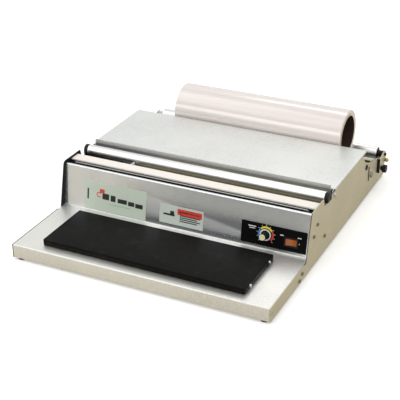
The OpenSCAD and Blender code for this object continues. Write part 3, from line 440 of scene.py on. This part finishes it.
# orange lens of the rocker: lit from within a little
lensSet = {"color": (0.24, 0.05, 0.005), "second": (0.40, 0.11, 0.012), "glow": 0.05, "coat": 0.6,
           "stretch": (1, 1, 1), "scale": 260.0, "rough": (0.18, 0.3), "bump": 0.05, "depth": 0.0001}

def makeLens(s):
    material, tree, shader, vector = startMaterial("orangeLens", {**finishDefaults, **s})
    glow = grainOf(tree, vector, s)
    color = mixColor(tree, glow.outputs["Cloud"], s["color"], s["second"])
    tree.links.new(color, shader.inputs["Base Color"])
    tree.links.new(color, shader.inputs["Emission Color"])
    shader.inputs["Emission Strength"].default_value = s["glow"]
    rough = rangeNode(tree, glow.outputs["Grain"], 0, 1, *s["rough"])
    tree.links.new(rough.outputs[0], shader.inputs["Roughness"])
    bumpOf(tree, shader, glow.outputs["Grain"], s["bump"], s["depth"])
    return material

finishes["lens"] = makeLens(lensSet)

# paper and print of the stickers and the dial
finishes["label"] = makeFinish("labelSheet", color=(0.60, 0.68, 0.58), second=(0.56, 0.63, 0.545),
    rough=(0.3, 0.42), scale=900, bump=0.05, handled=0.1)
inkColors = {"White": (0.88, 0.88, 0.86), "Black": (0.02, 0.02, 0.02), "Red": (0.72, 0.06, 0.04),
             "Blue": (0.08, 0.28, 0.72), "Yellow": (0.9, 0.72, 0.06), "Green": (0.35, 0.62, 0.45),
             "Paper": (0.62, 0.69, 0.63)}
inks = {name: makeFinish("ink" + name, color=color, rough=(0.35, 0.45), scale=1200, bump=0.04, handled=0.1)
        for name, color in inkColors.items()}
print("special finishes ready")


# screws of the sides and the brackets are duller than the rest
ownFinish = {"side_screws": "dull_screw", "bracket_bolts": "dull_screw", "top_cover": "cover"}

def finishFor(node):
    return finishes[ownFinish.get(node, slotOf[node])]

# pieces
def addPiece(name, bm, body, finish, smooth=32):
    mesh = bpy.data.meshes.new(name)
    bm.to_mesh(mesh)
    bm.free()
    mesh.materials.append(finish)
    mesh.shade_smooth()
    mesh.set_sharp_from_angle(angle=radians(smooth))
    piece = bpy.data.objects.new(name, mesh)
    scene.collection.objects.link(piece)
    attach(piece, body)
    return piece

def roundEdges(piece, width, segments=2, angle=30):
    bevel = piece.modifiers.new("softEdges", "BEVEL")
    bevel.width, bevel.segments = width, segments
    bevel.limit_method, bevel.angle_limit = "ANGLE", radians(angle)
    bevel.harden_normals = False
    return piece

def refine(node, width=0.0, segments=2, angle=30, smooth=32):
    # a merged copy of a part's own mesh, so that its edges can be softened and its bends shade smoothly
    bm = bmesh.new()
    bm.from_mesh(nodes[node].data)
    bmesh.ops.remove_doubles(bm, verts=bm.verts, dist=2e-6)
    bmesh.ops.dissolve_limit(bm, angle_limit=radians(0.8), verts=bm.verts, edges=bm.edges)
    piece = addPiece(node + "_shell", bm, bodyOf[node], finishFor(node), smooth)
    if width:
        roundEdges(piece, width, segments, angle)
    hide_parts(node)
    return piece

edgeSet = {"front_deck": 0.0003, "left_side_plate": 0.0004, "right_side_plate": 0.0004,
           "top_cover": 0.0003, "rear_rail": 0.0003, "base_tray": 0.0, "inner_cover": 0.0,
           "film_rest_bar": 0.0, "film_rest_strip": 0.0003, "cutter_channel": 0.0, "cutter_rod": 0.0,
           "cutter_insulators": 0.0003, "guide_roller_blocks": 0.0008, "left_roller_bracket": 0.0003,
           "right_roller_bracket": 0.0003, "rear_roller_bushes": 0.0006, "support_roller_bushes": 0.0004,
           "guide_roller_tube": 0.0004, "front_support_roller_tube": 0.0004,
           "rear_support_roller_tube": 0.0004, "control_plate": 0.0002, "switch_housing": 0.0004,
           "power_rocker": 0.0004, "rubber_feet": 0.0005, "left_clamp_knob": 0.0008,
           "right_clamp_knob": 0.0008, "cable_grommet": 0.0005, "lock_screws": 0.0002, "bracket_bolts": 0.0}

def refineAll(s):
    for node, width in s.items():
        refine(node, width)

refineAll(edgeSet)

def addSecondFinish(name, finish, chosen, place=1):
    mesh = bpy.data.objects[name].data
    mesh.materials.append(finish)
    for face in mesh.polygons:
        if chosen(face):
            face.material_index = place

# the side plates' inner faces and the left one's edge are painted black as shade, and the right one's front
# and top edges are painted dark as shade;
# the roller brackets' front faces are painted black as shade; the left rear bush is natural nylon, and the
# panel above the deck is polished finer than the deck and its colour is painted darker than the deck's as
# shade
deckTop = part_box("hot_plate_insulation")[0].z
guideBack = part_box("guide_roller_tube")[1].y

# faces that take the painted edge shade: front edges above the deck and top edges behind the guide roller
def onShadedEdge(face):
    frontEdge = face.normal.y < -0.6 and face.center.z > deckTop
    topEdge = face.normal.z > 0.6 and face.center.y > guideBack
    return frontEdge or topEdge

# painted shade: the left side plate's inner face and edges are black
addSecondFinish("left_side_plate_shell", finishes["black_sheet"], lambda face: face.normal.x > -0.5)
# painted shade: the right side plate's inner face is black
addSecondFinish("right_side_plate_shell", finishes["black_sheet"], lambda face: face.normal.x < -0.9)
addSecondFinish("rear_roller_bushes_shell", finishes["terminal"], lambda face: face.center.x < 0)
# painted shade: the right side plate's front and top edges are dark
addSecondFinish("right_side_plate_shell", finishes["painted_edge_shade"], onShadedEdge, 2)
# painted shade: the roller brackets' front-facing faces are black, standing in for the shade behind the
# leaf
for side in ("left", "right"):
    addSecondFinish(side + "_roller_bracket_shell", finishes["black_sheet"],
                    lambda face: face.normal.y < -0.8)
# painted shade: the deck sheet's upright panel takes a finer-polished finish whose colour is painted darker
# than the deck's
addSecondFinish("front_deck_shell", finishes["panel"], lambda face: face.center.z > deckTop + 0.002)
print("sheet parts softened")


# hot plate skin: folded sheet with soft corners, open below
plateSet = {"corner": 0.003, "cornerSteps": 5, "edge": 0.0011, "edgeSteps": 3, "wall": 0.0008}

def makeHotPlate(s):
    low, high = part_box("hot_plate_cover")
    bm = bmesh.new()
    bmesh.ops.create_cube(bm, size=1)
    size = high - low
    bmesh.ops.scale(bm, vec=size, verts=bm.verts)
    bmesh.ops.translate(bm, vec=(low + high) / 2, verts=bm.verts)
    upright = [e for e in bm.edges if abs(e.verts[0].co.z - e.verts[1].co.z) > size.z / 2]
    bmesh.ops.bevel(bm, geom=upright, offset=s["corner"], affect="EDGES", segments=s["cornerSteps"],
                    profile=0.5, material=-1)
    top = [e for e in bm.edges if all(v.co.z > high.z - 1e-5 for v in e.verts)]
    bmesh.ops.bevel(bm, geom=top, offset=s["edge"], affect="EDGES", segments=s["edgeSteps"], profile=0.5,
                    material=-1)
    under = [f for f in bm.faces if f.normal.z < -0.5]
    bmesh.ops.delete(bm, geom=under, context="FACES_ONLY")
    bmesh.ops.recalc_face_normals(bm, faces=bm.faces)
    piece = addPiece("hot_plate_skin", bm, "base", finishes["plate_coating"])
    wall = piece.modifiers.new("wall", "SOLIDIFY")
    wall.thickness, wall.offset = s["wall"], -1
    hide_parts("hot_plate_cover")

makeHotPlate(plateSet)


def spinRound(bm, corners, centre, axis, steps):
    # closes a profile into a loop and takes it once round the axis
    points = [bm.verts.new(corner) for corner in corners]
    rim = [bm.edges.new((points[i], points[(i + 1) % len(points)])) for i in range(len(points))]
    bmesh.ops.spin(bm, geom=points + rim, cent=centre, axis=axis, angle=2 * pi, steps=steps,
                   use_merge=True, use_duplicate=False)
    bmesh.ops.remove_doubles(bm, verts=bm.verts, dist=1e-6)

# wound film: its layers stand a little uneven at both ends, and the outside is slightly rippled
rollSet = {"rings": 34, "gap": 0.00005, "lift": 0.00035, "rimDip": 2.2, "edge": 0.0016, "ripple": 0.00006,
           "waves": 14, "rippleSteps": 5, "steps": 160}

def makeFilmRoll(s):
    low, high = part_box("film_winding")
    coreLow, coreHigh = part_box("film_core")
    centre = (low + high) / 2
    outer = (high.z - low.z) / 2
    inner = (coreHigh.z - coreLow.z) / 2 + s["gap"]
    profile = []
    for side in (1, -1):
        end = high.x if side > 0 else low.x
        layers = []
        for k in range(s["rings"] + 1):
            r = inner + (outer - inner) * k / s["rings"]
            dip = s["lift"] * (0.5 + 0.3 * sin(k * 2.1 * side + side) + 0.2 * sin(k * 5.7))
            if k == s["rings"]:
                dip = s["lift"] * s["rimDip"]
            layers.append((end - side * dip, r))
        if side < 0:
            layers.reverse()
        profile += layers
        if side > 0:
            profile.append((high.x - s["edge"], outer))
            for k in range(s["rippleSteps"] - 1, -s["rippleSteps"], -1):
                t = k / s["rippleSteps"]
                ripple = s["ripple"] * (1 + sin(t * s["waves"]))
                profile.append((centre.x + t * (high.x - centre.x), outer - ripple))
            profile.append((low.x + s["edge"], outer))
    bm = bmesh.new()
    spinRound(bm, [(x, centre.y, centre.z + r) for x, r in profile], centre, (1, 0, 0), s["steps"])
    bmesh.ops.recalc_face_normals(bm, faces=bm.faces)
    piece = addPiece("film_winding_layers", bm, "film_roll", finishes["film"], 60)
    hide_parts("film_winding")

makeFilmRoll(rollSet)

# card core, with a pale cut face at each end
coreSet = {"bore": 0.0381, "edge": 0.0006, "steps": 128}

def makeCore(s):
    low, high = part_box("film_core")
    centre = (low + high) / 2
    outer = (high.z - low.z) / 2
    corners = [(low.x, s["bore"]), (high.x, s["bore"]), (high.x, outer), (low.x, outer)]
    bm = bmesh.new()
    spinRound(bm, [(x, centre.y, centre.z + r) for x, r in corners], centre, (1, 0, 0), s["steps"])
    bmesh.ops.recalc_face_normals(bm, faces=bm.faces)
    piece = roundEdges(addPiece("card_core", bm, "film_roll", finishes["card"]), s["edge"], 2, 60)
    addSecondFinish("card_core", finishes["card_edge"], lambda face: abs(face.normal.x) > 0.9)
    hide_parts("film_core")

makeCore(coreSet)
print("hot plate and film roll made")


# front panel: its frame comes from the knob's centre and the axes of the knob and rocker joints
knobCentre = Vector(jointOf["heat_knob_turn"]["pos_m"])
panelOut = -Vector(jointOf["heat_knob_turn"]["axis"]).normalized()
panelUp = -Vector(jointOf["power_rocker_tilt"]["axis"]).normalized()
panelTurn = Matrix((Vector((1, 0, 0)), panelUp, panelOut)).transposed().to_4x4()

def panelPlace(u, v, w):
    return Matrix.Translation(knobCentre + Vector((u, 0, 0)) + panelUp * v + panelOut * w) @ panelTurn

def addPlate(bm, place, width, height, thick, turn=0.0):
    made = bmesh.ops.create_cube(bm, size=1)["verts"]
    bmesh.ops.scale(bm, vec=(width, height, thick), verts=made)
    bmesh.ops.transform(bm, matrix=place @ Matrix.Rotation(turn, 4, "Z"), verts=made)
    return made

def addArc(bm, place, r0, r1, a0, a1, thick, steps):
    # a flat ring sector, angles counted from the right
    section = ((r0, 0), (r1, 0), (r1, thick), (r0, thick))
    points = [bm.verts.new((r * cos(a0), r * sin(a0), z)) for r, z in section]
    rim = [bm.edges.new((points[i], points[(i + 1) % 4])) for i in range(4)]
    face = bm.faces.new(points)
    bmesh.ops.spin(bm, geom=[face, *points, *rim], cent=(0, 0, 0), axis=(0, 0, 1), angle=a1 - a0,
                   steps=steps, use_merge=False, use_duplicate=False)
    # everything that hangs together with the section is the sector
    touched = set(points)
    frontier = list(points)
    while frontier:
        vertex = frontier.pop()
        for edge in vertex.link_edges:
            other = edge.other_vert(vertex)
            if other not in touched:
                touched.add(other)
                frontier.append(other)
    bmesh.ops.transform(bm, matrix=place, verts=list(touched))

dialSet = {"face": 0.00112, "thick": 0.00008, "inner": 0.0112, "outer": 0.0145, "arcSteps": 14, "ticks": 11,
           "longEvery": 5, "long": 0.003, "short": 0.0021, "gap": 0.0006, "tickWidth": 0.0007,
           "from": 225, "to": -45, "bands": [("Blue", 0.0, 0.3), ("Yellow", 0.32, 0.7), ("Red", 0.72, 1.0)]}

def makeDial(s):
    place = panelPlace(0, 0, s["face"])
    span = s["to"] - s["from"]
    for name, start, stop in s["bands"]:
        bm = bmesh.new()
        a0, a1 = radians(s["from"] + span * start), radians(s["from"] + span * stop)
        addArc(bm, place, s["inner"], s["outer"], min(a0, a1), max(a0, a1), s["thick"], s["arcSteps"])
        bmesh.ops.recalc_face_normals(bm, faces=bm.faces)
        addPiece("dial_band_" + name.lower(), bm, "base", inks[name])
    bm = bmesh.new()
    for k in range(s["ticks"]):
        a = radians(s["from"] + span * k / (s["ticks"] - 1))
        length = s["long"] if k % s["longEvery"] == 0 else s["short"]
        reach = s["outer"] + s["gap"] + length / 2
        spot = place @ Matrix.Translation((cos(a) * reach, sin(a) * reach, s["thick"] / 2))
        addPlate(bm, spot, length, s["tickWidth"], s["thick"], a)
    addPiece("dial_ticks", bm, "base", inks["White"])

makeDial(dialSet)

# fascia print: plain bars where words would be
printSet = {"thick": 0.00008,
            "bars": [(-0.026, 0.0105, 0.014, 0.0016), (-0.026, 0.0070, 0.011, 0.0012),
                     (0.029, 0.0052, 0.0062, 0.0016), (0.061, 0.006, 0.0068, 0.0014),
                     (0.0612, -0.0045, 0.0014, 0.0014)]}

def makePrint(s):
    bm = bmesh.new()
    for u, v, width, height in s["bars"]:
        addPlate(bm, panelPlace(u, v, dialSet["face"] + s["thick"] / 2), width, height, s["thick"])
    addPiece("fascia_print", bm, "base", inks["White"])

makePrint(printSet)


# small cream tab on the end of the inner cover, seen between the film rest and the guide roller: a painted
# highlight on that edge
highlightTabSet = {"width": 0.002, "length": 0.0125, "rise": 0.0165, "from": 0.0005}

def makeHighlightTab(s):
    low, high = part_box("inner_cover")
    bm = bmesh.new()
    spot = (low.x + s["width"] / 2, low.y + s["from"] + s["length"] / 2, high.z + s["rise"] / 2)
    addPlate(bm, Matrix.Translation(spot), s["width"], s["length"], s["rise"])
    # painted highlight: the cream tab shows the light on the inner cover's end
    addPiece("inner_cover_highlight_tab", bm, "base", finishes["terminal"])

makeHighlightTab(highlightTabSet)


# temperature knob: skirt, white ring painted on as the skirt edge's highlight, ribbed grip, cream cap with
# a pale rim
def reachOut(node):
    return max((v.co - knobCentre).dot(panelOut) for v in nodes[node].data.vertices)

# the profile's steps are offsets from the radius of the skirt, the grip or the cap, and from the top
knobSet = {"bore": 0.0031, "foot": 0.0015, "skirt": 0.0105, "grip": 0.0065, "cap": 0.0052,
           "top": reachOut("temperature_knob"), "capTop": reachOut("knob_cap"), "steps": 96,
           "skirtSteps": [(-0.0003, 0.0015), (0, 0.0018), (0, 0.0032), (-0.0005, 0.0037)],
           "waistSteps": [(0.0004, 0.0041), (0, 0.0046)], "crownSteps": [(-0.0003, -0.0008), (-0.0007, 0)],
           "dishSteps": [(0.0003, 0), (0.0001, -0.0006)], "dish": 0.0006,
           "ribs": {"from": 0.0042, "below": 0.0005, "skin": 0.0006, "every": 4, "pinch": 0.93},
           # the white ring is a painted highlight on the edge of the skirt
           "ring": {"rise": 0.0037, "radius": 0.0094, "in": 0.0012, "out": 0.0009, "thick": 0.0004,
                    "steps": 64},
           "rim": {"drop": 0.0008, "in": 0.0012, "out": 0.0001, "thick": 0.001, "steps": 48},
           "turn": 2 * pi * 0.9999}

def makeKnob(s):
    bore, skirt, grip, cap, top = s["bore"], s["skirt"], s["grip"], s["cap"], s["top"]
    profile = [(bore, s["foot"])]
    profile += [(skirt + out, height) for out, height in s["skirtSteps"]]
    profile += [(grip + out, height) for out, height in s["waistSteps"]]
    profile += [(grip + out, top + up) for out, up in s["crownSteps"]]
    profile += [(cap + out, top + up) for out, up in s["dishSteps"]]
    profile.append((bore, top - s["dish"]))
    bm = bmesh.new()
    spinRound(bm, [(r, 0, w) for r, w in profile], (0, 0, 0), (0, 0, 1), s["steps"])
    ribs = s["ribs"]
    for vertex in bm.verts:
        r = vertex.co.xy.length
        if ribs["from"] < vertex.co.z < top - ribs["below"] and r > grip - ribs["skin"]:
            step = round(vertex.co.xy.angle_signed(Vector((1, 0))) / (2 * pi) * s["steps"]) % ribs["every"]
            if step == 0:
                vertex.co.xy *= ribs["pinch"]
    bmesh.ops.recalc_face_normals(bm, faces=bm.faces)
    bmesh.ops.transform(bm, matrix=panelPlace(0, 0, 0), verts=bm.verts)
    piece = addPiece("temperature_knob_grip", bm, "heat_knob", finishes["knob_black"], 40)
    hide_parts("temperature_knob")
    # both rings stop just short of a full turn, so that their ends stay apart
    ring = s["ring"]
    bm = bmesh.new()
    addArc(bm, panelPlace(0, 0, ring["rise"]), ring["radius"] - ring["in"], ring["radius"] + ring["out"],
           0, s["turn"], ring["thick"], ring["steps"])
    # painted highlight: white ring on the skirt's edge
    addPiece("knob_highlight_ring", bm, "heat_knob", inks["White"])
    refine("knob_cap", 0.0002)
    rim = s["rim"]
    bm = bmesh.new()
    addArc(bm, panelPlace(0, 0, s["capTop"] - rim["drop"]), cap - rim["in"], cap + rim["out"],
           0, s["turn"], rim["thick"], rim["steps"])
    addPiece("knob_cap_rim", bm, "heat_knob", inks["White"])

makeKnob(knobSet)
print("front panel made")


# the parts that keep their own mesh take their finish as they are
def finishRest():
    for node, piece in nodes.items():
        piece.data.materials.clear()
        piece.data.materials.append(finishFor(node))

finishRest()


# stickers on the front panel: plain sheets with bars, no words; each bar is its ink, then its place and
# size as shares of the sheet
stickerSet = {"split": -0.06, "thick": 0.00016, "corner": 0.0015, "cornerSteps": 4, "barLift": 0.00011,
              "barThick": 0.00006, "lines": 4,
              "ring": {"left": 0.26, "up": 0.003, "lift": 0.00008, "in": 0.0034, "out": 0.0052, "from": 0.6,
                       "share": 0.8, "steps": 32},
              "maker": [("Black", -0.88, 0.05, 0.026, 0.38), ("Red", -0.42, 0.4, 0.08, 0.14),
                        ("Black", -0.3, 0.06, 0.11, 0.21), ("Black", -0.06, 0.03, 0.08, 0.21),
                        ("Black", 0.24, -0.04, 0.15, 0.15), ("Black", 0.53, -0.08, 0.1, 0.15),
                        ("Black", 0.78, -0.12, 0.12, 0.15), ("Green", 0.16, -0.42, 0.34, 0.035)],
              "caution": [("Red", 0.38, 0.46, 0.56, 0.32), ("Paper", 0.38, 0.46, 0.48, 0.07),
                          ("Black", -0.56, -0.02, 0.26, 0.1), ("Black", -0.42, 0.16, 0.09, 0.24),
                          ("Black", -0.04, -0.06, 0.014, 0.56)]}

def panelSheet(s, name, low, high, finish, bars):
    bm = bmesh.new()
    width = high.x - low.x
    height = (high - low).dot(panelUp)
    place = Matrix.Translation((low + high) / 2) @ panelTurn
    addPlate(bm, place, width, height, s["thick"])
    corners = [e for e in bm.edges if abs((e.verts[0].co - e.verts[1].co).dot(panelOut)) > 0.0001]
    bmesh.ops.bevel(bm, geom=corners, offset=s["corner"], affect="EDGES", segments=s["cornerSteps"],
                    profile=0.5, material=-1)
    addPiece(name, bm, "base", finish)
    for index, (ink, u, v, barWidth, barHeight) in enumerate(bars):
        bm = bmesh.new()
        spot = place @ Matrix.Translation((u * width / 2, v * height / 2, s["barLift"]))
        addPlate(bm, spot, barWidth * width, barHeight * height, s["barThick"])
        addPiece(name + "_bar_" + str(index), bm, "base", inks[ink])

def boxAround(points):
    low = Vector([min(p[i] for p in points) for i in range(3)])
    high = Vector([max(p[i] for p in points) for i in range(3)])
    return low, high

def makeStickers(s):
    corners = [v.co.copy() for v in nodes["front_labels"].data.vertices]
    makerBox = boxAround([p for p in corners if p.x < s["split"]])
    cautionBox = boxAround([p for p in corners if p.x > s["split"]])
    lines = [("Black", 0.42 - 0.06 * (k % 2), 0.1 - 0.2 * k, 0.44 - 0.07 * (k % 2), 0.055)
             for k in range(s["lines"])]
    panelSheet(s, "maker_sheet", *makerBox, finishes["label"], s["maker"])
    panelSheet(s, "caution_sheet", *cautionBox, inks["Paper"], s["caution"] + lines)
    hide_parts("front_labels")
    low, high = makerBox
    ring = s["ring"]
    spot = (low + high) / 2 + Vector((-ring["left"] * (high.x - low.x), 0, 0)) + panelUp * ring["up"]
    place = Matrix.Translation(spot) @ panelTurn @ Matrix.Translation((0, 0, ring["lift"]))
    bm = bmesh.new()
    addArc(bm, place, ring["in"], ring["out"], ring["from"], ring["from"] + 2 * pi * ring["share"],
           s["barThick"], ring["steps"])
    bmesh.ops.recalc_face_normals(bm, faces=bm.faces)
    addPiece("maker_sheet_ring", bm, "base", inks["Red"])

makeStickers(stickerSet)
print("stickers made")


# pale floor: bright to the eye, warmer in what the steel mirrors; a dark card in front, seen only in
# reflections, gives the panel its band
stageSet = {"reach": 6, "seen": (0.97, 0.97, 0.968), "mirrored": (0.53, 0.49, 0.41), "glow": 0.25,
            "specular": 0.1, "rough": 0.7, "cardFrom": (-0.34, -0.95), "cardTo": (0.4, -0.225),
            "cardLift": 0.004, "card": (0.06, 0.068, 0.058)}

def flatSheet(name, material, low, high, z):
    bm = bmesh.new()
    bmesh.ops.create_grid(bm, x_segments=1, y_segments=1, size=0.5)
    bmesh.ops.scale(bm, vec=(high.x - low.x, high.y - low.y, 1), verts=bm.verts)
    bmesh.ops.translate(bm, vec=((low.x + high.x) / 2, (low.y + high.y) / 2, z), verts=bm.verts)
    mesh = bpy.data.meshes.new(name)
    bm.to_mesh(mesh)
    bm.free()
    mesh.materials.append(material)
    sheet = bpy.data.objects.new(name, mesh)
    scene.collection.objects.link(sheet)
    return sheet

def makeStage(s):
    pale, tree, shader, _ = startMaterial("paleFloor", {**finishDefaults, **s})
    path = tree.nodes.new("ShaderNodeLightPath")
    color = mixColor(tree, path.outputs["Is Camera Ray"], s["mirrored"], s["seen"])
    tree.links.new(color, shader.inputs["Base Color"])
    tree.links.new(color, shader.inputs["Emission Color"])
    shader.inputs["Emission Strength"].default_value = s["glow"]
    shader.inputs["Roughness"].default_value = s["rough"]
    corner = Vector((s["reach"], s["reach"]))
    floor = flatSheet("floor", pale, -corner, corner, 0)
    dark, _, darkShader, _ = startMaterial("darkCard", finishDefaults)
    darkShader.inputs["Base Color"].default_value = (*s["card"], 1)
    front = Vector((0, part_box("right_side_plate")[0].y))
    low, high = front + Vector(s["cardFrom"]), front + Vector(s["cardTo"])
    card = flatSheet("dark_card", dark, low, high, s["cardLift"])
    card.visible_camera = card.visible_diffuse = card.visible_shadow = False

makeStage(stageSet)

print("scene ready")
